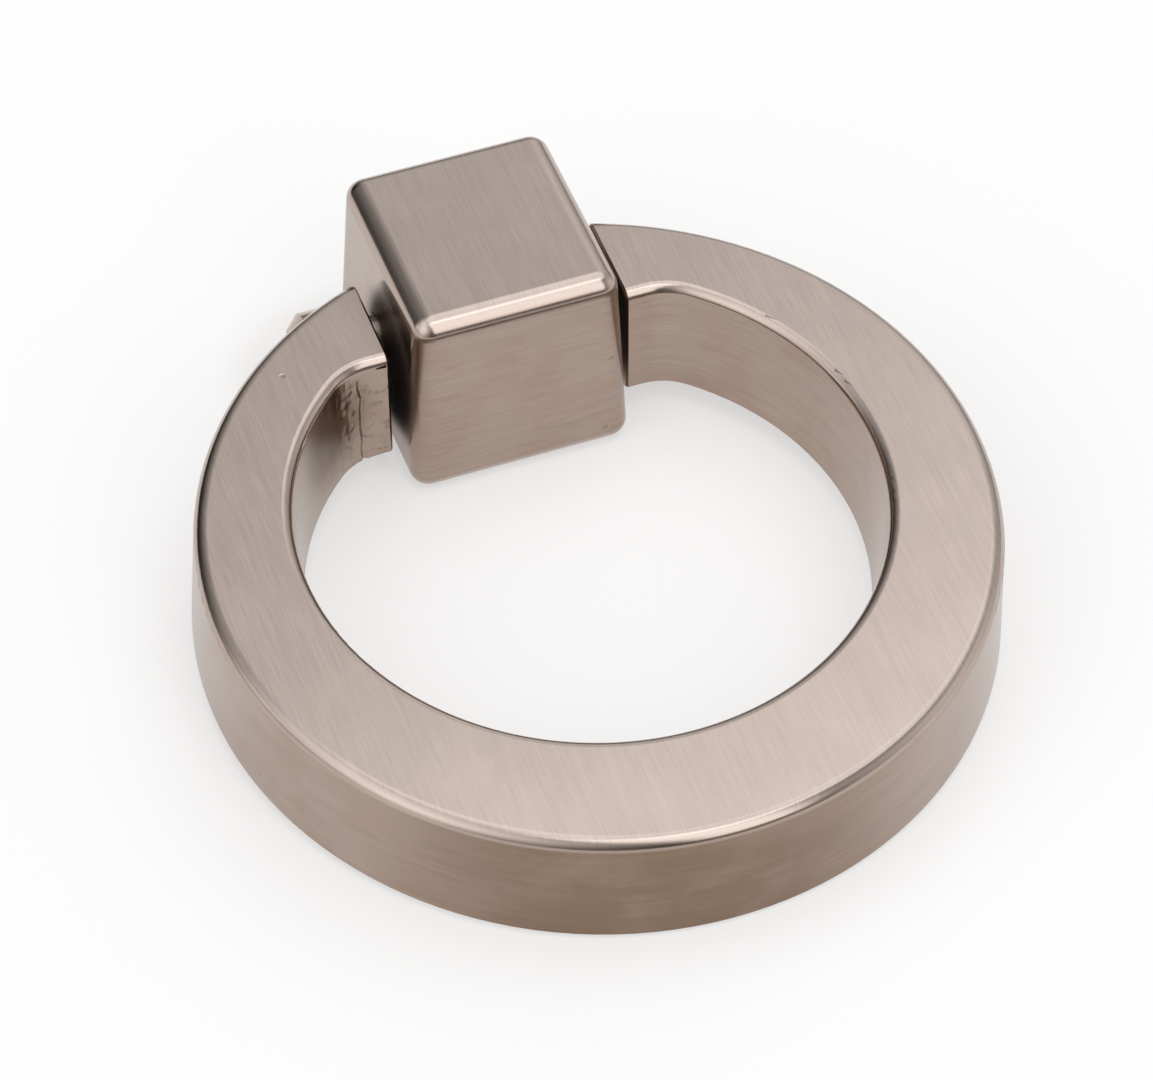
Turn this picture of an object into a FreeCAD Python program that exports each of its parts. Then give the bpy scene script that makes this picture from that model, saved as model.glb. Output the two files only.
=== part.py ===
import FreeCAD, Part
import math
import os

import Sketcher

# Ring pull handle: a drafted square block that screws to a drawer front, and an open ring that
# swings on a headed pin through the block.
# Row frame: the origin is the mouth of the mounting hole, on the back face of the block, which
# lies on the drawer front. +Z points away from the drawer, X lies along the hinge pin, and the
# ring reaches towards -Y, its free end resting on the plane of the drawer front.

SIZES = [
    ("ring_diameter", 50.8, "ring across its back face"),
    ("ring_thickness", 8.7, "ring from back face to front face"),
    ("ring_draft", 3.0, "lean of the ring's outer wall, degrees"),
    ("ring_edge", 0.9, "rounding of the ring's outer front edge"),
    ("back_edge", 0.35, "chamfer of the ring's back edges"),
    ("opening_diameter", 36.9, "finger opening at the front face"),
    ("opening_offset", 1.5, "opening's centre from the ring's centre, towards the block"),
    ("opening_draft", 4.0, "lean of the opening's wall, degrees"),
    ("opening_edge", 0.7, "rounding of the opening's front edge"),
    ("land_drop", 5.0, "flat land of the opening at the front face, from the pin axis"),
    ("corner_radius", 4.0, "blend from the land into the round of the opening"),
    ("arm_edge", 0.15, "chamfer round each arm's end face"),
    ("pivot_inset", 3.9, "pin axis inside the round of the ring's back face"),
    ("pivot_depth", 3.5, "pin axis below the ring's front face"),
    ("back_gap", 1.8, "ring's back face at the pin to the drawer front"),
    ("block_width", 14.9, "block along the pin, at its back face"),
    ("block_depth", 16.1, "block across the pin, at its back face"),
    ("block_height", 14.4, "block from back face to front face"),
    ("block_draft", 2.5, "lean of the block's walls, degrees"),
    ("block_edge", 1.3, "rounding of the block's edges"),
    ("side_gap", 0.55, "block's widest point to each arm's end face"),
    ("pin_diameter", 3.0, "pin, and the holes in the arms that grip it"),
    ("running_gap", 0.05, "pin to the bore of the block, all round"),
    ("head_diameter", 5.4, "pin head"),
    ("head_length", 2.5, "pin head along the pin"),
    ("head_chamfer", 0.8, "chamfer of the pin head"),
    ("head_gap", 0.15, "pin head to the wall of its recess, all round"),
    ("seat_wall", 2.15, "arm's end face to the seat of the pin head"),
    ("tail_grip", 2.5, "length of pin held in the other arm"),
    ("tail_chamfer", 0.4, "lead-in on the pin's tail"),
    ("screw_hole_diameter", 3.3, "tapping hole for an M4 screw"),
    ("hole_web", 1.05, "metal left between the tapping hole and the bore for the pin"),
    ("overcut", 2.0, "how far a cut runs past the face that it opens"),
]
ALIASES = [alias for alias, number, note in SIZES]

# Pin axis: from the ring's centre, and above the drawer front
PIVOT_REACH = "( ring_diameter / 2 - pivot_inset )"
PIVOT_HEIGHT = "( ring_thickness - pivot_depth + back_gap )"
# Along the pin: half the gap between the arms, and the seat of the pin head
ARM_END = "( block_width / 2 + side_gap )"
HEAD_SEAT = "( " + ARM_END + " + seat_wall )"
# Back edge at the ring's free end, from the pin axis, with the ring level
EDGE_REACH = "( ring_diameter - pivot_inset - back_edge )"
EDGE_DROP = "( ring_thickness - pivot_depth )"
# Lean at which that edge meets the drawer front
REST_LEAN = (
    "asin( " + PIVOT_HEIGHT + " / hypot( " + EDGE_REACH + " ; " + EDGE_DROP + " ) )"
    " - atan( " + EDGE_DROP + " / " + EDGE_REACH + " )"
)

NEAR = 1e-4


def make_sheet(doc):
    sheet = doc.addObject("Spreadsheet::Sheet", "sizes")
    for row, (alias, number, note) in enumerate(SIZES, start=1):
        sheet.set("A%d" % row, note)
        sheet.set("B%d" % row, str(number))
        sheet.setAlias("B%d" % row, alias)
    doc.recompute()
    return sheet


doc = FreeCAD.newDocument("ring_pull")
sheet = make_sheet(doc)


def size(alias):
    return float(getattr(sheet, alias))


def bind(thing, target, words):
    """Tie a property to an expression in which each size is read from the sheet."""
    tied = ["sizes." + word if word in ALIASES else word for word in words.split()]
    thing.setExpression(target, " ".join(tied))


def new_body(label):
    body = doc.addObject("PartDesign::Body", label)
    body.Label = label
    return body


def new_sketch(body, name, role, level="0"):
    """A sketch on one of the body's origin planes, raised to the level along its normal."""
    plane = next(item for item in body.Origin.OriginFeatures if item.Role == role)
    sketch = body.newObject("Sketcher::SketchObject", name)
    sketch.AttachmentSupport = [(plane, "")]
    sketch.MapMode = "FlatFace"
    bind(sketch, "AttachmentOffset.Base.z", level)
    return sketch


def point(x, y):
    return FreeCAD.Vector(x, y, 0)


def dimension(sketch, name, words, kind, *where, start=1.0):
    """A named dimension, drawn at its starting value and then tied to the sheet."""
    index = sketch.addConstraint(Sketcher.Constraint(kind, *where, start))
    sketch.renameConstraint(index, name)
    bind(sketch, "Constraints." + name, words)


def add_circle(sketch, name, diameter, drop="0"):
    """A circle on the sketch's vertical axis, its centre the drop below the sketch's origin."""
    index = sketch.addGeometry(Part.Circle(point(0, -1), FreeCAD.Vector(0, 0, 1), 1))
    sketch.addConstraint(Sketcher.Constraint("PointOnObject", index, 3, -2))
    dimension(sketch, name + "_diameter", diameter, "Diameter", index)
    dimension(sketch, name + "_drop", drop, "DistanceY", index, 3, -1, 1)


def add_rectangle(sketch, width, below, above):
    """A rectangle about the sketch's vertical axis, reaching below and above its origin."""
    corners = [point(-1, -1), point(1, -1), point(1, 1), point(-1, 1)]
    for start, end in zip(corners, corners[1:] + corners[:1]):
        sketch.addGeometry(Part.LineSegment(start, end))
    bottom, right, top, left = range(4)
    for side in range(4):
        sketch.addConstraint(Sketcher.Constraint("Coincident", side, 2, (side + 1) % 4, 1))
    sketch.addConstraint(Sketcher.Constraint("Symmetric", bottom, 1, bottom, 2, -2))
    sketch.addConstraint(Sketcher.Constraint("Vertical", right))
    sketch.addConstraint(Sketcher.Constraint("Vertical", left))
    sketch.addConstraint(Sketcher.Constraint("Horizontal", top))
    dimension(sketch, "width", width, "DistanceX", bottom, 1, bottom, 2)
    dimension(sketch, "below", below, "DistanceY", bottom, 1, -1, 1)
    dimension(sketch, "above", above, "DistanceY", -1, 1, top, 1)


def add_opening(sketch):
    """The round of the opening, cut off by the straight land beside the block."""
    radius = size("opening_diameter") / 2
    round_drop = size("ring_diameter") / 2 - size("pivot_inset") - size("opening_offset")
    land_drop = size("land_drop")
    lift = math.asin((round_drop - land_drop) / radius)
    reach = radius * math.cos(lift)
    circle = Part.Circle(point(0, -round_drop), FreeCAD.Vector(0, 0, 1), radius)
    arc = sketch.addGeometry(Part.ArcOfCircle(circle, math.pi - lift, 2 * math.pi + lift))
    land = sketch.addGeometry(Part.LineSegment(point(reach, -land_drop), point(-reach, -land_drop)))
    sketch.addConstraint(Sketcher.Constraint("Coincident", arc, 2, land, 1))
    sketch.addConstraint(Sketcher.Constraint("Coincident", land, 2, arc, 1))
    sketch.addConstraint(Sketcher.Constraint("Horizontal", land))
    sketch.addConstraint(Sketcher.Constraint("PointOnObject", arc, 3, -2))
    dimension(sketch, "radius", "opening_diameter / 2", "Radius", arc, start=radius)
    drop = ("DistanceY", arc, 3, -1, 1)
    dimension(sketch, "round_drop", PIVOT_REACH + " - opening_offset", *drop, start=round_drop)
    drop = ("DistanceY", land, 1, -1, 1)
    dimension(sketch, "land_drop", "land_drop", *drop, start=land_drop)


def add_pad(body, name, sketch, length, lean="0", backwards=False):
    pad = body.newObject("PartDesign::Pad", name)
    pad.Profile = sketch
    pad.Reversed = backwards
    bind(pad, "Length", length)
    bind(pad, "TaperAngle", lean)
    doc.recompute()


def add_cut(body, name, sketch, length=None, backwards=False, both_ways=False):
    """A pocket of the given length, or one through everything where no length is given."""
    before = body.Shape.Volume
    cut = body.newObject("PartDesign::Pocket", name)
    cut.Profile = sketch
    cut.Reversed = backwards
    if both_ways:
        cut.SideType = "Symmetric"
    if length is None:
        cut.Type = "ThroughAll"
    else:
        bind(cut, "Length", length)
    doc.recompute()
    if body.Shape.Volume > before - NEAR:
        raise RuntimeError(name + " removes nothing")


def named_where(kind, items, test):
    """The names of the faces or edges whose bounding boxes pass the test."""
    return [kind + str(number) for number, item in enumerate(items, start=1) if test(item.BoundBox)]


def dress_edges(body, name, kind, amount, test):
    """Round or chamfer the edges that pass the test."""
    base = body.Tip
    dressed = body.newObject("PartDesign::" + kind, name)
    dressed.Base = (base, named_where("Edge", base.Shape.Edges, test))
    bind(dressed, "Radius" if kind == "Fillet" else "Size", amount)
    doc.recompute()


def lean_walls(body, name, angle, wall_test, neutral_test):
    """Give draft to the walls that pass the test, which keep their outline on the neutral face."""
    base = body.Tip
    leaning = body.newObject("PartDesign::Draft", name)
    leaning.Base = (base, named_where("Face", base.Shape.Faces, wall_test))
    leaning.NeutralPlane = (base, named_where("Face", base.Shape.Faces, neutral_test))
    bind(leaning, "Angle", angle)
    doc.recompute()


def at_level(low, high, level):
    return abs(low - level) < NEAR and abs(high - level) < NEAR


def make_post_block():
    """The cast block: leaning walls, rounded edges, a cross bore for the pin and a tapped hole."""
    body = new_body("post_block")

    def on_base(box):
        return at_level(box.ZMin, box.ZMax, 0)

    base = new_sketch(body, "block_outline", "XY_Plane")
    add_rectangle(base, "block_width", "block_depth / 2", "block_depth / 2")
    add_pad(body, "block_walls", base, "block_height")
    lean_walls(body, "leaning_walls", "block_draft", lambda box: box.ZLength > NEAR, on_base)
    dress_edges(body, "block_rounds", "Fillet", "block_edge", lambda box: True)
    bore = new_sketch(body, "bore_circle", "YZ_Plane")
    add_circle(bore, "bore", "pin_diameter + 2 * running_gap", "0 - " + PIVOT_HEIGHT)
    add_cut(body, "pin_bore", bore, both_ways=True)
    hole = new_sketch(body, "screw_circle", "XY_Plane")
    add_circle(hole, "screw_hole", "screw_hole_diameter")
    depth = PIVOT_HEIGHT + " - pin_diameter / 2 - running_gap - hole_web"
    add_cut(body, "screw_hole", hole, depth, backwards=True)
    return body


def hang_on_pivot(body, lean="0"):
    """Move a piece drawn about the pin axis to the pivot, leaning down towards the drawer front."""
    body.Placement = FreeCAD.Placement(point(0, 0), FreeCAD.Rotation(FreeCAD.Vector(1, 0, 0), 1))
    bind(body, "Placement.Base.z", PIVOT_HEIGHT)
    bind(body, "Placement.Rotation.Angle", lean)


def make_ring():
    """The cast ring, drawn about the pin axis: a leaning disc, its off-centre opening with a flat
    land beside the block, the gap between the arms, and the pin's holes."""
    body = new_body("ring")
    front = size("pivot_depth")
    back = front - size("ring_thickness")

    def on_front(box):
        return at_level(box.ZMin, box.ZMax, front)

    def on_back(box):
        return at_level(box.ZMin, box.ZMax, back)

    def within_opening(box):
        return box.XMax < size("opening_diameter") / 2 + NEAR

    def in_opening(box):
        return box.ZLength > NEAR and within_opening(box)

    def outer_front(box):
        return on_front(box) and not within_opening(box)

    def opening_front(box):
        return on_front(box) and within_opening(box)

    def across_pin(box):
        return box.XLength < NEAR

    disc = new_sketch(body, "ring_outline", "XY_Plane", "pivot_depth - ring_thickness")
    add_circle(disc, "ring", "ring_diameter", PIVOT_REACH)
    add_pad(body, "ring_disc", disc, "ring_thickness", "0 - ring_draft")
    opening = new_sketch(body, "opening_outline", "XY_Plane", "pivot_depth")
    add_opening(opening)
    add_cut(body, "opening", opening)
    lean_walls(body, "opening_walls", "opening_draft", in_opening, on_front)
    dress_edges(body, "land_corners", "Fillet", "corner_radius", in_opening)
    dress_edges(body, "front_round", "Fillet", "ring_edge", outer_front)
    dress_edges(body, "opening_round", "Fillet", "opening_edge", opening_front)
    dress_edges(body, "back_chamfer", "Chamfer", "back_edge", on_back)
    gap = new_sketch(body, "arm_gap_outline", "XY_Plane", "pivot_depth")
    add_rectangle(gap, "2 * " + ARM_END, PIVOT_REACH + " - opening_offset", "pivot_inset + overcut")
    add_cut(body, "arm_gap", gap)
    dress_edges(body, "arm_ends", "Chamfer", "arm_edge", across_pin)
    hole = new_sketch(body, "pin_circle", "YZ_Plane")
    add_circle(hole, "pin_hole", "pin_diameter")
    add_cut(body, "pin_hole", hole, both_ways=True)
    recess = new_sketch(body, "recess_circle", "YZ_Plane", "0 - " + HEAD_SEAT)
    add_circle(recess, "recess", "head_diameter + 2 * head_gap")
    add_cut(body, "head_recess", recess)
    hang_on_pivot(body, REST_LEAN)
    return body


def make_hinge_pin():
    """The pin, drawn about its own axis: a chamfered head at the left arm and a plain shank."""
    body = new_body("hinge_pin")
    shank = new_sketch(body, "shank_circle", "YZ_Plane", "0 - " + HEAD_SEAT)
    add_circle(shank, "shank", "pin_diameter")
    add_pad(body, "shank", shank, HEAD_SEAT + " + " + ARM_END + " + tail_grip")
    head = new_sketch(body, "head_circle", "YZ_Plane", "0 - " + HEAD_SEAT)
    add_circle(head, "head", "head_diameter")
    add_pad(body, "head", head, "head_length", backwards=True)
    ends = body.Shape.BoundBox
    dress_edges(
        body, "head_rim", "Chamfer", "head_chamfer", lambda box: at_level(box.XMin, box.XMax, ends.XMin)
    )
    dress_edges(
        body, "tail_lead", "Chamfer", "tail_chamfer", lambda box: at_level(box.XMin, box.XMax, ends.XMax)
    )
    hang_on_pivot(body)
    return body


def check_and_write(bodies):
    doc.recompute()
    for item in doc.Objects:
        if "Invalid" in item.State or "Error" in item.State:
            raise RuntimeError(item.Label + " failed: " + ", ".join(item.State))
    for body in bodies:
        if body.Shape.isNull() or not body.Shape.isValid() or len(body.Shape.Solids) != 1:
            raise RuntimeError(body.Label + " isn't one valid solid")
    os.makedirs("parts", exist_ok=True)
    for body in bodies:
        body.Shape.exportStep("parts/" + body.Label + ".step")


check_and_write([make_post_block(), make_ring(), make_hinge_pin()])
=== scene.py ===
import math

import bmesh
import bpy
from mathutils import Matrix, Vector, kdtree, noise
from mathutils.geometry import intersect_point_line


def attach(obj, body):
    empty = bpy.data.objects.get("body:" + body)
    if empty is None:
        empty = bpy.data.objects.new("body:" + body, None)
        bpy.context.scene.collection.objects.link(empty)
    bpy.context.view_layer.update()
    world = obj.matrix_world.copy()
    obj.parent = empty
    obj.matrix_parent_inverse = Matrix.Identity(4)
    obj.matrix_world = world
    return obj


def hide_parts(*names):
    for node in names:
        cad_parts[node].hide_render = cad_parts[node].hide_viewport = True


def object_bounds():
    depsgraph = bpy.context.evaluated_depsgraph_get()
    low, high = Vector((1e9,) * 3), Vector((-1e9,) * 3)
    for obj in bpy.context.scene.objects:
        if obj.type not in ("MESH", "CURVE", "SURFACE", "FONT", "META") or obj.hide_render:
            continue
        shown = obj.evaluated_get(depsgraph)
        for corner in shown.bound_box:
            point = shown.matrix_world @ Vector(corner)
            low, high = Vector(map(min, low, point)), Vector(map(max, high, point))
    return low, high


MM = 0.001

# The photograph's view: what the camera looks at, from where, and through which lens
VIEW_TARGET_MM = (-1.71, -22.14, 8.71)
VIEW_DISTANCE_MM = 309.7
VIEW_AZIMUTH_DEG = -20.71
VIEW_ELEVATION_DEG = 48.83
VIEW_ROLL_DEG = 0.43
LENS_MM = 157.24
SENSOR_MM = 36.0
CLIP_MM = (10.0, 10000.0)

# Satin nickel, as linear colours: the faces that are brushed flat, the walls, the walls' warm
# patches, and the edges where the finish is worn. The walls are darker and browner than the flat
# faces: painted shade for the shadowed floor that they mirror
FLAT_NICKEL = (0.460, 0.385, 0.345)
SHADED_WALL_NICKEL = (0.410, 0.319, 0.268)
SHADED_WARM_NICKEL = (0.364, 0.260, 0.197)
WORN_NICKEL = (0.560, 0.470, 0.420)
FLAT_TONE_SPREAD = 0.11
WALL_TONE_SPREAD = 0.13
FLAT_ROUGHNESS = 0.25
WALL_ROUGHNESS = 0.20
WORN_ROUGHNESS = 0.17
ROUGHNESS_SPREAD = 0.10
NICKEL_STRETCH = 0.6
WORN_SHARE = 0.42

# How far up or down a normal points on the flat faces, on the walls and on the worn edges between
# them: where each begins, and where it is full
FLAT_UPRIGHT = (0.55, 0.85)
WALL_UPRIGHT = (0.50, 0.20)
WORN_ABOVE_WALL = (0.12, 0.35)
WORN_BELOW_FLAT = (0.97, 0.85)

# The marks that brushing leaves, fine and broad: how wide and how long, in millimetres
FINE_MARK_MM = (0.13, 3.5)
BROAD_MARK_MM = (0.55, 11.0)
BROAD_SHARE = 0.35
MARK_DEPTH_MM = 0.004
GRAIN_RADIUS_MM = 22.0
NOISE_DETAIL = 3.0
NOISE_ROUGHNESS = 0.55

# Patches in which the tone differs a little
PATCH_MM = 5.0
PATCH_RISE = (0.42, 0.68)
WALL_PATCH_SHARE = 0.45
FLAT_PATCH_SHARE = 0.22

# Tiny pits. Their radius, at its rim and at its floor, is a share of their spacing
PIT_SPACING_MM = 3.4
PIT_RADIUS = (0.075, 0.03)
PIT_ABSENCE = 0.62
PIT_DEPTH_MM = 0.015
PIT_COLOUR = (0.110, 0.075, 0.055)
PIT_SHARE = 0.3

# The middle of the ring as it rests
RING_MIDDLE_MM = (0.0, -21.1)

# The ring's outer wall is darker and browner where it faces the room, painted shade for the
# shadowed floor in front of it that it mirrors; less so on the patches
FRONT_FACING = (-0.22, -0.975, 0.0)
FRONT_RISE = (0.72, 1.0)
FRONT_SHADE_NICKEL = (0.248, 0.171, 0.123)
OUTER_WALL_MM = (23.0, 24.0)
FRONT_SHADE_ON_PATCHES = 0.7

# The left arm's inner face is left as cast, with a crease where the two halves of the mould met
CAST_LOW_MM = (-12.2, -6.3, 0.4)
CAST_HIGH_MM = (-7.9, -4.9, 9.2)
CAST_EDGE_MM = 0.4
CAST_MARGIN_MM = 1.0
CAST_FACE_Y = -0.5
CAST_FACE_Z = 0.2
CAST_FACET_MM = 0.2
CAST_CUTS = 8
CAST_GRAIN_MM = 0.55
CAST_DETAIL = 4.0
CAST_DEPTH_MM = 0.05
CAST_UPRIGHT = (0.30, 0.10)
CAST_STAIN_RISE = (0.48, 0.30)
CAST_STAIN_SHARE = 0.4
CREASE_X_MM = -10.0
CREASE_WANDER_MM = 0.35
CREASE_WAVE_MM = 1.6
CREASE_WIDTH_MM = 0.24
CREASE_DEPTH_MM = 0.14

# The ring's mesh: corners this near are one, edges this sharp stay sharp, and triangles this small
# belong to a rounding
WELD_MM = 0.0001
SHARP_DEG = 32.0
ROUNDING_FACET_MM2 = 0.15

# The roundings of the ring's front face, round its outside and round its opening
OUTER_ROUNDING_MM = 0.9
INNER_ROUNDING_MM = 0.7
OUTER_RIM_MM = 22.5
ROUNDING_SLACK_MM = 0.04
FRONT_COSINE = 0.9999
FRONT_NORMAL_Z = 0.9

# Painted shade in the left arm's inner corner: its middle, and how far out the painted shade reaches
CORNER_MIDDLE_MM = (-12.7, -7.2, 6.6)
CORNER_REACH_MM = (1.3, 5.0)
CORNER_SHADE_SHARE = 0.85
CORNER_SHADE_NICKEL = (0.135, 0.084, 0.053)

# The gaps between the block and the ring's arms carry painted shade and are rougher. Each shaded
# patch is a disc about the line through its middle, given by y and z, with its radius
BLOCK_GAP_SHADE_MM = (-2.6, 7.2, 4.4)
ARM_GAP_SHADE_MM = (0.0, 7.0, 6.5)
GAP_SHADE_EDGE_MM = 1.0
GAP_SHADE_X_MM = (6.8, 8.15)
GAP_SHADE_X_EDGE_MM = 0.05
GAP_SHADE_SHARE = 0.9
GAP_SHADE_NICKEL = (0.100, 0.075, 0.060)
GAP_SHADE_ROUGHNESS = 0.5

# The thread that the block's screw hole is tapped with
THREAD_PITCH_MM = 0.7
THREAD_DEPTH_MM = 0.35
HOLE_RADIUS_MM = 1.75
HOLE_DEPTH_MM = 4.6

# The room's light, in degrees. A glow has an azimuth, an elevation, a sharpness and a colour. The
# panel has a radius and a softness. The strip runs from its lowest elevation up to the zenith, with
# a half width and a softness, and fades out where it would run over to the far side
ROOM_GLOWS = [
    (30.0, 34.0, 9.0, (1.10, 1.10, 1.10)),
    (-60.0, 50.0, 16.0, (0.50, 0.50, 0.50)),
    (-80.0, 68.0, 14.0, (0.80, 0.80, 0.80)),
    (-20.0, 67.0, 60.0, (0.50, 0.50, 0.50)),
    (-70.0, 14.0, 40.0, (0.80, 0.80, 0.80)),
    (-95.0, 25.0, 10.0, (0.75, 0.75, 0.75)),
    (-125.0, 38.0, 8.0, (1.15, 1.15, 1.15)),
    (-115.0, 8.0, 12.0, (0.45, 0.45, 0.45)),
    (105.0, 14.0, 5.0, (0.95, 0.95, 0.95)),
    (180.0, 10.0, 2.0, (0.05, 0.037, 0.03)),
]
PANEL = (60.0, 72.0, 24.0, 3.5, (1.22, 1.22, 1.22))
STRIP = (163.0, 13.0, 17.0, 5.0, (1.7, 1.7, 1.7))
STRIP_FADE = (0.02, 0.22)

# The pale floor. The share of its own white lifts the shadow for the camera and for what the metal
# mirrors, except in the nook behind the left arm: its middle, and the distances at which the lift
# starts and is full
FLOOR_COLOUR = (0.965, 0.963, 0.96)
FLOOR_MOTTLE_PER_M = 60.0
FLOOR_MOTTLE_SHADE = 0.99
FLOOR_ROUGHNESS = 0.9
FLOOR_SHINE = 0.1
FLOOR_WHITE_SHARE = 0.5
FLOOR_SIZE_MM = 3000.0
NOOK_MIDDLE_MM = (-9.0, 5.0)
NOOK_REACH_MM = (4.0, 8.0)


def camera_at_photo_view():
    camera_data = bpy.data.cameras.new("photo_camera")
    camera_data.sensor_fit = "HORIZONTAL"
    camera_data.sensor_width = SENSOR_MM
    camera_data.lens = LENS_MM
    camera_data.clip_start, camera_data.clip_end = (end * MM for end in CLIP_MM)
    camera = bpy.data.objects.new("photo_camera", camera_data)
    bpy.context.scene.collection.objects.link(camera)
    azimuth = math.radians(VIEW_AZIMUTH_DEG)
    elevation = math.radians(VIEW_ELEVATION_DEG)
    roll = math.radians(VIEW_ROLL_DEG)
    back = Vector(
        (
            math.sin(azimuth) * math.cos(elevation),
            -math.cos(azimuth) * math.cos(elevation),
            math.sin(elevation),
        )
    )
    level_right = Vector((math.cos(azimuth), math.sin(azimuth), 0.0))
    level_up = back.cross(level_right)
    right = level_right * math.cos(roll) + level_up * math.sin(roll)
    up = level_up * math.cos(roll) - level_right * math.sin(roll)
    turn = Matrix((right, up, back)).transposed().to_4x4()
    place = (Vector(VIEW_TARGET_MM) + back * VIEW_DISTANCE_MM) * MM
    camera.matrix_world = Matrix.Translation(place) @ turn
    bpy.context.scene.camera = camera


class Nodes:
    """A short way to add and link the nodes of one node tree."""

    def __init__(self, tree):
        self.tree = tree
        tree.nodes.clear()

    def add(self, kind, **settings):
        node = self.tree.nodes.new(kind)
        for name, value in settings.items():
            setattr(node, name, value)
        return node

    def set_input(self, socket, value):
        if isinstance(value, bpy.types.NodeSocket):
            self.tree.links.new(value, socket)
        else:
            socket.default_value = value

    def output(self, kind, surface):
        self.set_input(self.add(kind).inputs["Surface"], surface)

    def math(self, operation, first, second=0.0, third=0.0):
        node = self.add("ShaderNodeMath", operation=operation)
        for socket, value in zip(node.inputs, (first, second, third)):
            self.set_input(socket, value)
        return node.outputs[0]

    def vector(self, operation, first, second):
        node = self.add("ShaderNodeVectorMath", operation=operation)
        self.set_input(node.inputs[0], first)
        self.set_input(node.inputs[1], second)
        return node.outputs["Value" if operation in ("DOT_PRODUCT", "DISTANCE") else "Vector"]

    def combine(self, x, y, z):
        node = self.add("ShaderNodeCombineXYZ")
        for socket, value in zip(node.inputs, (x, y, z)):
            self.set_input(socket, value)
        return node.outputs[0]

    def separate(self, vector):
        node = self.add("ShaderNodeSeparateXYZ")
        self.set_input(node.inputs[0], vector)
        return node.outputs

    def step(self, value, low, high, bottom=0.0, top=1.0):
        """A smooth rise from bottom to top as the value goes from low to high."""
        node = self.add("ShaderNodeMapRange", interpolation_type="SMOOTHSTEP")
        for socket, number in zip(node.inputs, (value, low, high, bottom, top)):
            self.set_input(socket, number)
        return node.outputs[0]

    def between(self, value, low, high, softness):
        """1 where the value lies between low and high, with soft ends."""
        rise = self.step(value, low - softness, low + softness)
        fall = self.step(value, high + softness, high - softness)
        return self.math("MULTIPLY", rise, fall)

    def square(self, value):
        return self.math("MULTIPLY", value, value)

    def length(self, first, second):
        """How long a vector is whose two parts are given."""
        return self.math("SQRT", self.math("ADD", self.square(first), self.square(second)))

    def scaled(self, vector, size):
        return self.vector("MULTIPLY", vector, (size, size, size))

    def noise(self, vector, detail=NOISE_DETAIL):
        node = self.add("ShaderNodeTexNoise", noise_dimensions="3D")
        self.set_input(node.inputs["Vector"], vector)
        self.set_input(node.inputs["Scale"], 1.0)
        self.set_input(node.inputs["Detail"], detail)
        self.set_input(node.inputs["Roughness"], NOISE_ROUGHNESS)
        return node.outputs["Fac"]

    def mix(self, factor, first, second, kind="FLOAT"):
        node = self.add("ShaderNodeMix", data_type=kind)
        self.set_input(node.inputs["Factor"], factor)
        self.set_input(node.inputs["A"], first)
        self.set_input(node.inputs["B"], second)
        return node.outputs["Result"]

    def mix_colour(self, factor, first, second):
        return self.mix(factor, first, second, "RGBA")

    def mix_vector(self, factor, first, second):
        return self.mix(factor, first, second, "VECTOR")

    def tint(self, colour, amount, share, tint):
        """The colour, with a share of the tint where the amount is 1."""
        return self.mix_colour(self.math("MULTIPLY", amount, share), colour, opaque(tint))


def opaque(colour):
    return (*colour, 1.0)


def shaded(colour, share):
    return opaque(tuple(channel * share for channel in colour))


def toned(nodes, tone, colour, spread):
    """The colour, a little darker or lighter as the brush marks go."""
    return nodes.mix_colour(tone, shaded(colour, 1.0 - 2 * spread), shaded(colour, 1.0 + 2 * spread))


def brush_marks(nodes, across, along, beside, size_mm):
    """Noise that is drawn out along one direction of a surface."""
    width, length = size_mm
    return nodes.noise(
        nodes.combine(
            nodes.math("MULTIPLY", across, 1.0 / (width * MM)),
            nodes.math("MULTIPLY", along, 1.0 / (length * MM)),
            nodes.math("MULTIPLY", beside, 1.0 / (length * MM)),
        )
    )


def brush_tone(nodes, across, along, beside):
    fine = brush_marks(nodes, across, along, beside, FINE_MARK_MM)
    broad = brush_marks(nodes, across, along, beside, BROAD_MARK_MM)
    return nodes.mix(BROAD_SHARE, fine, broad)


def scattered_pits(nodes, place):
    """Tiny pits in some of the cells that the surface is divided into: 1 in the middle of a pit."""
    cells = nodes.add("ShaderNodeTexVoronoi", feature="F1")
    nodes.set_input(cells.inputs["Vector"], nodes.scaled(place, 1.0 / (PIT_SPACING_MM * MM)))
    nodes.set_input(cells.inputs["Scale"], 1.0)
    chosen = nodes.math("GREATER_THAN", nodes.separate(cells.outputs["Color"])[0], PIT_ABSENCE)
    return nodes.math("MULTIPLY", chosen, nodes.step(cells.outputs["Distance"], *PIT_RADIUS))


def wall_grain(nodes, place, around):
    """How far along the walls a place lies, and how far beside that: straight, or round the upright
    line through the point that is given."""
    x, y, _ = nodes.separate(place)
    if around is None:
        return nodes.math("ADD", x, y), nodes.math("SUBTRACT", x, y)
    from_x = nodes.math("SUBTRACT", x, around[0] * MM)
    from_y = nodes.math("SUBTRACT", y, around[1] * MM)
    turn = nodes.math("ARCTAN2", from_y, from_x)
    return nodes.math("MULTIPLY", turn, GRAIN_RADIUS_MM * MM), nodes.length(from_x, from_y)


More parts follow.
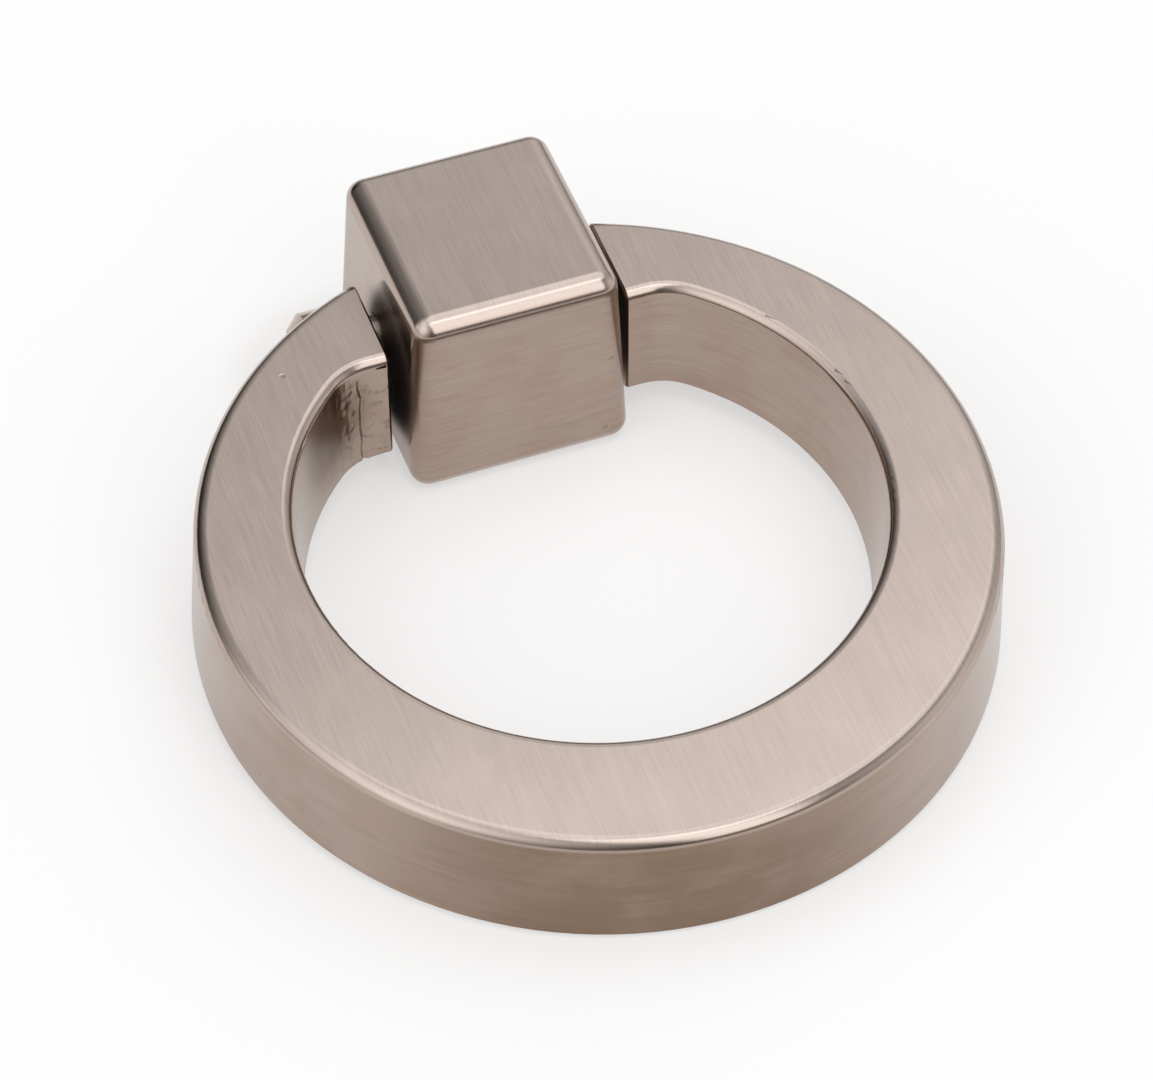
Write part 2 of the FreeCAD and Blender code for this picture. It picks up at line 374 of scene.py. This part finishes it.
class Surface:
    """What the parts of a nickel material read of the surface."""

    def __init__(self, nodes, around):
        coordinates = nodes.add("ShaderNodeTexCoord")
        self.place, self.normal = coordinates.outputs["Object"], coordinates.outputs["Normal"]
        self.upright = nodes.math("ABSOLUTE", nodes.separate(self.normal)[2])
        self.flat = nodes.step(self.upright, *FLAT_UPRIGHT)
        self.wall = nodes.step(self.upright, *WALL_UPRIGHT)
        above_wall = nodes.step(self.upright, *WORN_ABOVE_WALL)
        below_flat = nodes.step(self.upright, *WORN_BELOW_FLAT)
        self.worn = nodes.math("MULTIPLY", above_wall, below_flat)
        x, y, z = nodes.separate(self.place)
        along, self.beside = wall_grain(nodes, self.place, around)
        wall_tone = brush_tone(nodes, z, along, self.beside)
        self.tone = nodes.mix(self.flat, wall_tone, brush_tone(nodes, x, y, z))
        clouds = nodes.noise(nodes.scaled(self.place, 1.0 / (PATCH_MM * MM)))
        self.patches = nodes.step(clouds, *PATCH_RISE)
        self.pits = scattered_pits(nodes, self.place)


def front_wall_shade(nodes, surface):
    """1 where the ring's outer wall faces the room and gets painted shade."""
    facing = nodes.step(nodes.vector("DOT_PRODUCT", surface.normal, FRONT_FACING), *FRONT_RISE)
    outside = nodes.step(surface.beside, *(end * MM for end in OUTER_WALL_MM))
    patchy = nodes.mix(surface.patches, 1.0, FRONT_SHADE_ON_PATCHES)
    return nodes.math("MULTIPLY", nodes.math("MULTIPLY", facing, outside), patchy)


def cast_stain(nodes, surface):
    """Dirt in the hollows of the face that is left as cast."""
    inside = nodes.step(surface.upright, *CAST_UPRIGHT)
    for value, low, high in zip(nodes.separate(surface.place), CAST_LOW_MM, CAST_HIGH_MM):
        within = nodes.between(value, low * MM, high * MM, CAST_EDGE_MM * MM)
        inside = nodes.math("MULTIPLY", inside, within)
    lumps = nodes.noise(nodes.scaled(surface.place, 1.0 / (CAST_GRAIN_MM * MM)), CAST_DETAIL)
    return nodes.math("MULTIPLY", inside, nodes.step(lumps, *CAST_STAIN_RISE))


def shaded_corner(nodes, surface):
    """How much painted shade the walls carry in and round the left arm's inner corner."""
    middle = tuple(value * MM for value in CORNER_MIDDLE_MM)
    near, far = (value * MM for value in CORNER_REACH_MM)
    away = nodes.vector("DISTANCE", surface.place, middle)
    return nodes.math("MULTIPLY", nodes.step(away, far, near), surface.wall)


def gap_shade(nodes, surface, gap_shade_mm):
    """1 on the walls of the gaps beside the block, where shade is painted."""
    middle_y, middle_z, radius_mm = gap_shade_mm
    x, y, z = nodes.separate(surface.place)
    gap = (end * MM for end in GAP_SHADE_X_MM)
    in_gap = nodes.between(nodes.math("ABSOLUTE", x), *gap, GAP_SHADE_X_EDGE_MM * MM)
    from_y = nodes.math("SUBTRACT", y, middle_y * MM)
    from_z = nodes.math("SUBTRACT", z, middle_z * MM)
    outer, inner = (radius_mm + GAP_SHADE_EDGE_MM) * MM, (radius_mm - GAP_SHADE_EDGE_MM) * MM
    disc = nodes.step(nodes.length(from_y, from_z), outer, inner)
    return nodes.math("MULTIPLY", nodes.math("MULTIPLY", disc, in_gap), surface.wall)


def thread_depth(nodes, surface):
    """A screw thread cut into the wall of the hole in the block's back: 1 in its root."""
    x, y, z = nodes.separate(surface.place)
    in_hole = nodes.math(
        "MULTIPLY",
        nodes.math("LESS_THAN", nodes.length(x, y), HOLE_RADIUS_MM * MM),
        nodes.math("LESS_THAN", z, HOLE_DEPTH_MM * MM),
    )
    turn = nodes.math("MULTIPLY", nodes.math("ARCTAN2", y, x), 0.5 / math.pi)
    climb = nodes.math("MULTIPLY_ADD", z, 1.0 / (THREAD_PITCH_MM * MM), turn)
    groove = nodes.math("PINGPONG", climb, 0.5)
    return nodes.math("MULTIPLY", in_hole, nodes.math("MULTIPLY", groove, 2.0))


def brushed_colour(nodes, surface, is_ring):
    """The colour of the brushed nickel, with its patches, the painted shade on its walls and on the
    ring's front wall, and its worn edges.
    """
    # The walls' colours carry painted shade: darker and browner than the flat faces
    wall = nodes.mix_colour(
        nodes.math("MULTIPLY", surface.patches, WALL_PATCH_SHARE),
        toned(nodes, surface.tone, SHADED_WALL_NICKEL, WALL_TONE_SPREAD),
        toned(nodes, surface.tone, SHADED_WARM_NICKEL, WALL_TONE_SPREAD),
    )
    # Painted shade on the ring's outer wall where it faces the room
    if is_ring:
        front_shaded = toned(nodes, surface.tone, FRONT_SHADE_NICKEL, WALL_TONE_SPREAD)
        wall = nodes.mix_colour(front_wall_shade(nodes, surface), wall, front_shaded)
    flat = nodes.mix_colour(
        nodes.math("MULTIPLY", surface.patches, FLAT_PATCH_SHARE),
        toned(nodes, surface.tone, FLAT_NICKEL, FLAT_TONE_SPREAD),
        toned(nodes, surface.tone, WORN_NICKEL, FLAT_TONE_SPREAD),
    )
    colour = nodes.mix_colour(surface.flat, wall, flat)
    return nodes.tint(colour, surface.worn, WORN_SHARE, WORN_NICKEL)


def nickel_colour(nodes, surface, gap_shaded, is_ring):
    """The brushed colour, with the pits, the dirt, and the painted shade in the left arm's inner
    corner and in the gaps beside the block.
    """
    colour = brushed_colour(nodes, surface, is_ring)
    colour = nodes.tint(colour, surface.pits, PIT_SHARE, PIT_COLOUR)
    if is_ring:
        colour = nodes.tint(colour, cast_stain(nodes, surface), CAST_STAIN_SHARE, PIT_COLOUR)
        # Painted shade in the left arm's inner corner
        colour = nodes.tint(colour, shaded_corner(nodes, surface), CORNER_SHADE_SHARE, CORNER_SHADE_NICKEL)
    # Painted shade in the gaps beside the block
    return nodes.tint(colour, gap_shaded, GAP_SHADE_SHARE, GAP_SHADE_NICKEL)


def nickel_roughness(nodes, surface, gap_shaded):
    roughness = nodes.mix(surface.flat, WALL_ROUGHNESS, FLAT_ROUGHNESS)
    roughness = nodes.mix(surface.worn, roughness, WORN_ROUGHNESS)
    offset = nodes.math("SUBTRACT", surface.tone, 0.5)
    roughness = nodes.math("MULTIPLY_ADD", offset, ROUGHNESS_SPREAD, roughness)
    # Rougher where shade is painted in the gaps beside the block
    return nodes.mix(gap_shaded, roughness, GAP_SHADE_ROUGHNESS)


def nickel_bump(nodes, surface, is_ring):
    height = nodes.math("MULTIPLY", surface.tone, MARK_DEPTH_MM * MM)
    height = nodes.math("MULTIPLY_ADD", surface.pits, -PIT_DEPTH_MM * MM, height)
    if not is_ring:
        thread = thread_depth(nodes, surface)
        height = nodes.math("MULTIPLY_ADD", thread, -THREAD_DEPTH_MM * MM, height)
    bump = nodes.add("ShaderNodeBump")
    bump.inputs["Strength"].default_value = 1.0
    bump.inputs["Distance"].default_value = 1.0
    nodes.set_input(bump.inputs["Height"], height)
    return bump.outputs[0]


def across_grain(nodes, surface):
    """The direction across the brush marks, in which the gloss is stretched."""
    across = nodes.mix_vector(surface.flat, (0.0, 0.0, 1.0), (1.0, 0.0, 0.0))
    turned = nodes.add("ShaderNodeVectorTransform", vector_type="VECTOR")
    turned.convert_from, turned.convert_to = "OBJECT", "WORLD"
    nodes.set_input(turned.inputs[0], across)
    return turned.outputs[0]


def satin_nickel(name, gap_shade_mm, around=None):
    """Brushed nickel. The flat faces are brushed towards the block, and the walls along their length:
    straight, or on the ring round the upright line through its middle, which is then given. Shade is
    painted in the gaps beside the block, within the disc that is given."""
    material = bpy.data.materials.new(name)
    material.use_nodes = True
    nodes = Nodes(material.node_tree)
    is_ring = around is not None
    surface = Surface(nodes, around)
    # Where shade is painted in the gaps beside the block
    gap_shaded = gap_shade(nodes, surface, gap_shade_mm)
    shader = nodes.add("ShaderNodeBsdfPrincipled")
    shader.inputs["Metallic"].default_value = 1.0
    shader.inputs["Anisotropic"].default_value = NICKEL_STRETCH
    nodes.set_input(shader.inputs["Base Color"], nickel_colour(nodes, surface, gap_shaded, is_ring))
    nodes.set_input(shader.inputs["Roughness"], nickel_roughness(nodes, surface, gap_shaded))
    nodes.set_input(shader.inputs["Normal"], nickel_bump(nodes, surface, is_ring))
    nodes.set_input(shader.inputs["Tangent"], across_grain(nodes, surface))
    nodes.output("ShaderNodeOutputMaterial", shader.outputs[0])
    return material


def dress(node, material):
    for slot in node.material_slots:
        slot.material = material


def smooth_rise(value, low, high):
    share = min(1.0, max(0.0, (value - low) / (high - low)))
    return share * share * (3.0 - 2.0 * share)


def on_cast_face(place_mm):
    """1 on the face that is left as cast, falling to 0 at its edges."""
    share = 1.0
    for value, low, high in zip(place_mm, CAST_LOW_MM, CAST_HIGH_MM):
        share *= smooth_rise(value, low, low + CAST_EDGE_MM)
        share *= smooth_rise(-value, -high, -high + CAST_EDGE_MM)
    return share


def cast_relief_mm(place_mm):
    """How far the cast face stands out at a place: low lumps, and a crease that wanders down it."""
    lumps = noise.noise(place_mm / CAST_GRAIN_MM) * CAST_DEPTH_MM
    wander = noise.noise(Vector((0.0, 0.0, place_mm.z / CREASE_WAVE_MM))) * CREASE_WANDER_MM
    aside = abs(place_mm.x - CREASE_X_MM - wander)
    crease = smooth_rise(-aside, -CREASE_WIDTH_MM, 0.0) * CREASE_DEPTH_MM
    return on_cast_face(place_mm) * (lumps - crease)


def faces_as_cast(shape):
    """The faces of the left arm's inner side, which the mould leaves unfinished."""
    low = [value - CAST_MARGIN_MM for value in CAST_LOW_MM]
    high = [value + CAST_MARGIN_MM for value in CAST_HIGH_MM]
    for face in shape.faces:
        middle = face.calc_center_median() / MM
        inside = low[0] < middle.x < high[0] and low[1] < middle.y < high[1]
        if inside and face.normal.y < CAST_FACE_Y and abs(face.normal.z) < CAST_FACE_Z:
            yield face


def even_roundings(shape):
    """Turn the edges between the small triangles of the roundings, so that these run in even rows."""
    small = {face for face in shape.faces if face.calc_area() < ROUNDING_FACET_MM2 * MM * MM}
    edges = [
        edge
        for edge in shape.edges
        if len(edge.link_faces) == 2
        and all(face in small for face in edge.link_faces)
        and edge.calc_face_angle() < math.radians(SHARP_DEG)
    ]
    faces = [face for face in shape.faces if face in small]
    bmesh.ops.beautify_fill(shape, faces=faces, edges=edges, method="ANGLE")
    shape.normal_update()


def cut_small(shape):
    """Divide the cast face's triangles until their sides are short."""
    for _ in range(CAST_CUTS):
        edges = {edge for face in faces_as_cast(shape) for edge in face.edges}
        long_edges = [edge for edge in edges if edge.calc_length() > CAST_FACET_MM * MM]
        if not long_edges:
            break
        shape.edges.index_update()
        long_edges.sort(key=lambda edge: edge.index)
        bmesh.ops.subdivide_edges(shape, edges=long_edges, cuts=1)
        bmesh.ops.triangulate(shape, faces=[face for face in shape.faces if len(face.verts) > 3])
        shape.normal_update()


def front_rims(mesh, front):
    """The edges where the front face runs into a rounding, each with the way that the rounding lies."""
    sides = {}
    for face in mesh.polygons:
        for key in face.edge_keys:
            sides.setdefault(key, []).append(face)
    rims = []
    for (first, second), faces in sides.items():
        level = [face.normal.dot(front) > FRONT_COSINE for face in faces]
        if sorted(level) == [False, True]:
            start, end = mesh.vertices[first].co, mesh.vertices[second].co
            outward = front.cross(end - start).normalized()
            if outward.dot(faces[level.index(False)].center - start) < 0:
                outward.negate()
            rims.append((first, second, outward))
    return rims


def quarter_round_normal(place, ends, ways, front):
    """The normal that a true quarter round beside a rim has at a place, or None off the rounding. The
    rim has two ends, and at each end a way that the rounding lies."""
    rest, share = intersect_point_line(place, *ends)
    outer = (rest.xy / MM - Vector(RING_MIDDLE_MM)).length > OUTER_RIM_MM
    radius = (OUTER_ROUNDING_MM if outer else INNER_ROUNDING_MM) * MM
    spoke = place - (rest - front * radius)
    if abs(spoke.length - radius) > ROUNDING_SLACK_MM * MM:
        return None
    way = (ways[0].normalized() * (1.0 - share) + ways[1].normalized() * share).normalized()
    rise = min(1.0, max(0.0, spoke.dot(front) / radius))
    if spoke.dot(way) <= 0.0 or rise <= 0.0:
        return None
    return (front * rise + way * math.sqrt(1.0 - rise * rise)).normalized()


def rounding_normals(mesh, front):
    """The normals of the points on the front roundings, by the points' numbers."""
    rims = front_rims(mesh, front)
    points = [vertex.co for vertex in mesh.vertices]
    ways = {}
    tree = kdtree.KDTree(len(rims))
    for number, (first, second, outward) in enumerate(rims):
        tree.insert((points[first] + points[second]) / 2, number)
        for point in (first, second):
            ways[point] = ways.get(point, Vector()) + outward
    tree.balance()
    normals = {}
    for number, place in enumerate(points):
        _, nearest, _ = tree.find(place)
        first, second, _ = rims[nearest]
        ends, rim_ways = (points[first], points[second]), (ways[first], ways[second])
        normal = quarter_round_normal(place, ends, rim_ways, front)
        if normal is not None:
            normals[number] = normal
    return normals


def turn_evenly(mesh):
    """Let the shading turn across the front roundings as it does on a true quarter round."""
    level = [face for face in mesh.polygons if face.normal.z > FRONT_NORMAL_Z]
    front = max(level, key=lambda face: face.area).normal.copy()
    turned = rounding_normals(mesh, front)
    normals = [Vector(corner.vector) for corner in mesh.corner_normals]
    sharp = {point for edge in mesh.edges if edge.use_edge_sharp for point in edge.vertices}
    for face in mesh.polygons:
        for corner, point in zip(face.loop_indices, face.vertices):
            if point in turned and point not in sharp:
                normals[corner] = turned[point]
    mesh.normals_split_custom_set(normals)


def even_shading(piece):
    """Smooth shading in which the large faces stay flat up to their rounded edges."""
    mesh = piece.data
    mesh.polygons.foreach_set("use_smooth", [True] * len(mesh.polygons))
    mesh.set_sharp_from_angle(angle=math.radians(SHARP_DEG))
    weighted = piece.modifiers.new("even_shading", "WEIGHTED_NORMAL")
    weighted.mode = "FACE_AREA"
    weighted.keep_sharp = True
    bpy.context.view_layer.update()
    seen = piece.evaluated_get(bpy.context.evaluated_depsgraph_get())
    shaded_mesh = bpy.data.meshes.new_from_object(seen)
    piece.modifiers.clear()
    piece.data = shaded_mesh
    turn_evenly(shaded_mesh)


def cast_mesh(node):
    """The ring's mesh with the cast face of its left arm worked into its surface."""
    shape = bmesh.new()
    shape.from_mesh(node.data)
    bmesh.ops.remove_doubles(shape, verts=shape.verts, dist=WELD_MM * MM)
    shape.normal_update()
    even_roundings(shape)
    cut_small(shape)
    moves = [(vert, vert.normal * cast_relief_mm(vert.co / MM) * MM) for vert in shape.verts]
    for vert, move in moves:
        vert.co += move
    mesh = bpy.data.meshes.new("ring_cast")
    shape.to_mesh(mesh)
    shape.free()
    if "custom_normal" in mesh.attributes:
        mesh.attributes.remove(mesh.attributes["custom_normal"])
    return mesh


def cast_ring(node):
    """The ring as the scene shows it, in place of its plain node."""
    mesh = cast_mesh(node)
    mesh.materials.clear()
    mesh.materials.append(satin_nickel("ring_nickel", ARM_GAP_SHADE_MM, RING_MIDDLE_MM))
    mesh.polygons.foreach_set("material_index", [0] * len(mesh.polygons))
    piece = bpy.data.objects.new("ring_cast", mesh)
    bpy.context.scene.collection.objects.link(piece)
    even_shading(piece)
    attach(piece, "pull")
    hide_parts("ring")


def white_share(nodes, place):
    """How much of its own white the floor shows, to the camera and in mirrors."""
    ray = nodes.add("ShaderNodeLightPath").outputs
    seen = nodes.math("MAXIMUM", ray["Is Camera Ray"], ray["Is Glossy Ray"])
    seen = nodes.math("MAXIMUM", seen, ray["Is Transmission Ray"])
    x, y, _ = nodes.separate(place)
    from_x = nodes.math("SUBTRACT", x, NOOK_MIDDLE_MM[0] * MM)
    from_y = nodes.math("SUBTRACT", y, NOOK_MIDDLE_MM[1] * MM)
    near, far = (reach * MM for reach in NOOK_REACH_MM)
    lift = nodes.step(nodes.length(from_x, from_y), near, far, 0.0, FLOOR_WHITE_SHARE)
    return nodes.math("MULTIPLY", seen, lift)


def floor_material():
    material = bpy.data.materials.new("pale_floor")
    material.use_nodes = True
    nodes = Nodes(material.node_tree)
    place = nodes.add("ShaderNodeTexCoord").outputs["Object"]
    mottle = nodes.noise(nodes.scaled(place, FLOOR_MOTTLE_PER_M))
    darker = shaded(FLOOR_COLOUR, FLOOR_MOTTLE_SHADE)
    shader = nodes.add("ShaderNodeBsdfPrincipled")
    shader.inputs["Roughness"].default_value = FLOOR_ROUGHNESS
    shader.inputs["Specular IOR Level"].default_value = FLOOR_SHINE
    colour = nodes.mix_colour(mottle, darker, opaque(FLOOR_COLOUR))
    nodes.set_input(shader.inputs["Base Color"], colour)
    white = nodes.add("ShaderNodeEmission")
    white.inputs["Strength"].default_value = 1.0
    lifted = nodes.add("ShaderNodeMixShader")
    nodes.set_input(lifted.inputs[0], white_share(nodes, place))
    nodes.set_input(lifted.inputs[1], shader.outputs[0])
    nodes.set_input(lifted.inputs[2], white.outputs[0])
    nodes.output("ShaderNodeOutputMaterial", lifted.outputs[0])
    return material


def pale_floor(level):
    half = FLOOR_SIZE_MM * MM / 2
    corners = [(-half, -half, level), (half, -half, level), (half, half, level), (-half, half, level)]
    mesh = bpy.data.meshes.new("floor")
    mesh.from_pydata(corners, [], [(0, 1, 2, 3)])
    mesh.materials.append(floor_material())
    floor = bpy.data.objects.new("floor", mesh)
    bpy.context.scene.collection.objects.link(floor)


def sky_direction(azimuth_deg, elevation_deg):
    """A direction in the sky, its azimuth counted from straight behind the object to the right."""
    azimuth, elevation = math.radians(azimuth_deg), math.radians(elevation_deg)
    return (
        math.sin(azimuth) * math.cos(elevation),
        math.cos(azimuth) * math.cos(elevation),
        math.sin(elevation),
    )


def sky_cosine(nodes, direction, azimuth_deg, elevation_deg):
    """The cosine of the angle between a direction and a place in the sky."""
    return nodes.vector("DOT_PRODUCT", direction, sky_direction(azimuth_deg, elevation_deg))


def glow_light(nodes, direction, azimuth_deg, elevation_deg, sharpness):
    """A round glow that fades out evenly."""
    away = nodes.math("SUBTRACT", sky_cosine(nodes, direction, azimuth_deg, elevation_deg), 1.0)
    return nodes.math("EXPONENT", nodes.math("MULTIPLY", away, sharpness))


def panel_light(nodes, direction, azimuth_deg, elevation_deg, radius_deg, softness_deg):
    """A round panel with a soft edge."""
    outer = math.cos(math.radians(radius_deg + softness_deg))
    inner = math.cos(math.radians(radius_deg - softness_deg))
    return nodes.step(sky_cosine(nodes, direction, azimuth_deg, elevation_deg), outer, inner)


def strip_light(nodes, direction, azimuth_deg, half_width_deg, low_deg, softness_deg):
    """An upright strip with soft edges, from its lowest elevation up."""
    angles = (half_width_deg, low_deg, softness_deg)
    width, lowest, soft = (math.sin(math.radians(angle)) for angle in angles)
    sideways = nodes.math("ABSOLUTE", sky_cosine(nodes, direction, azimuth_deg + 90.0, 0.0))
    across = nodes.step(sideways, width + soft, width - soft)
    bottom = nodes.step(nodes.separate(direction)[2], lowest - soft, lowest + soft)
    ahead = nodes.step(sky_cosine(nodes, direction, azimuth_deg, 0.0), *STRIP_FADE)
    return nodes.math("MULTIPLY", nodes.math("MULTIPLY", across, bottom), ahead)


def studio_world():
    """A soft studio: a large panel high up at the back, a strip at the front and a glowing room."""
    world = bpy.data.worlds.new("studio")
    world.use_nodes = True
    bpy.context.scene.world = world
    nodes = Nodes(world.node_tree)
    direction = nodes.add("ShaderNodeTexCoord").outputs["Generated"]
    lights = [(glow_light(nodes, direction, *place), colour) for *place, colour in ROOM_GLOWS]
    *place, colour = PANEL
    lights.append((panel_light(nodes, direction, *place), colour))
    *place, colour = STRIP
    lights.append((strip_light(nodes, direction, *place), colour))
    sky = (0.0, 0.0, 0.0)
    for amount, colour in lights:
        light = nodes.vector("MULTIPLY", nodes.combine(amount, amount, amount), colour)
        sky = nodes.vector("ADD", light, sky)
    shader = nodes.add("ShaderNodeBackground")
    nodes.set_input(shader.inputs["Color"], sky)
    nodes.output("ShaderNodeOutputWorld", shader.outputs[0])


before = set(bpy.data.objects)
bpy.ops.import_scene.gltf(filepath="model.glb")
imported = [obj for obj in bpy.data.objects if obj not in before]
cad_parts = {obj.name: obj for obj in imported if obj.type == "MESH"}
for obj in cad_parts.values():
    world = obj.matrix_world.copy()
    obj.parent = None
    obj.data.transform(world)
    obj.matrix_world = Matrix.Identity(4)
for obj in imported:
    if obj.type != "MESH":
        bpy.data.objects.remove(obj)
cad_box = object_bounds()

dress(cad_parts["post_block"], satin_nickel("block_nickel", BLOCK_GAP_SHADE_MM))
dress(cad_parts["hinge_pin"], satin_nickel("pin_nickel", ARM_GAP_SHADE_MM))
cast_ring(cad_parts["ring"])

pale_floor(cad_box[0].z)
studio_world()
camera_at_photo_view()
bpy.context.scene.view_settings.view_transform = "Standard"
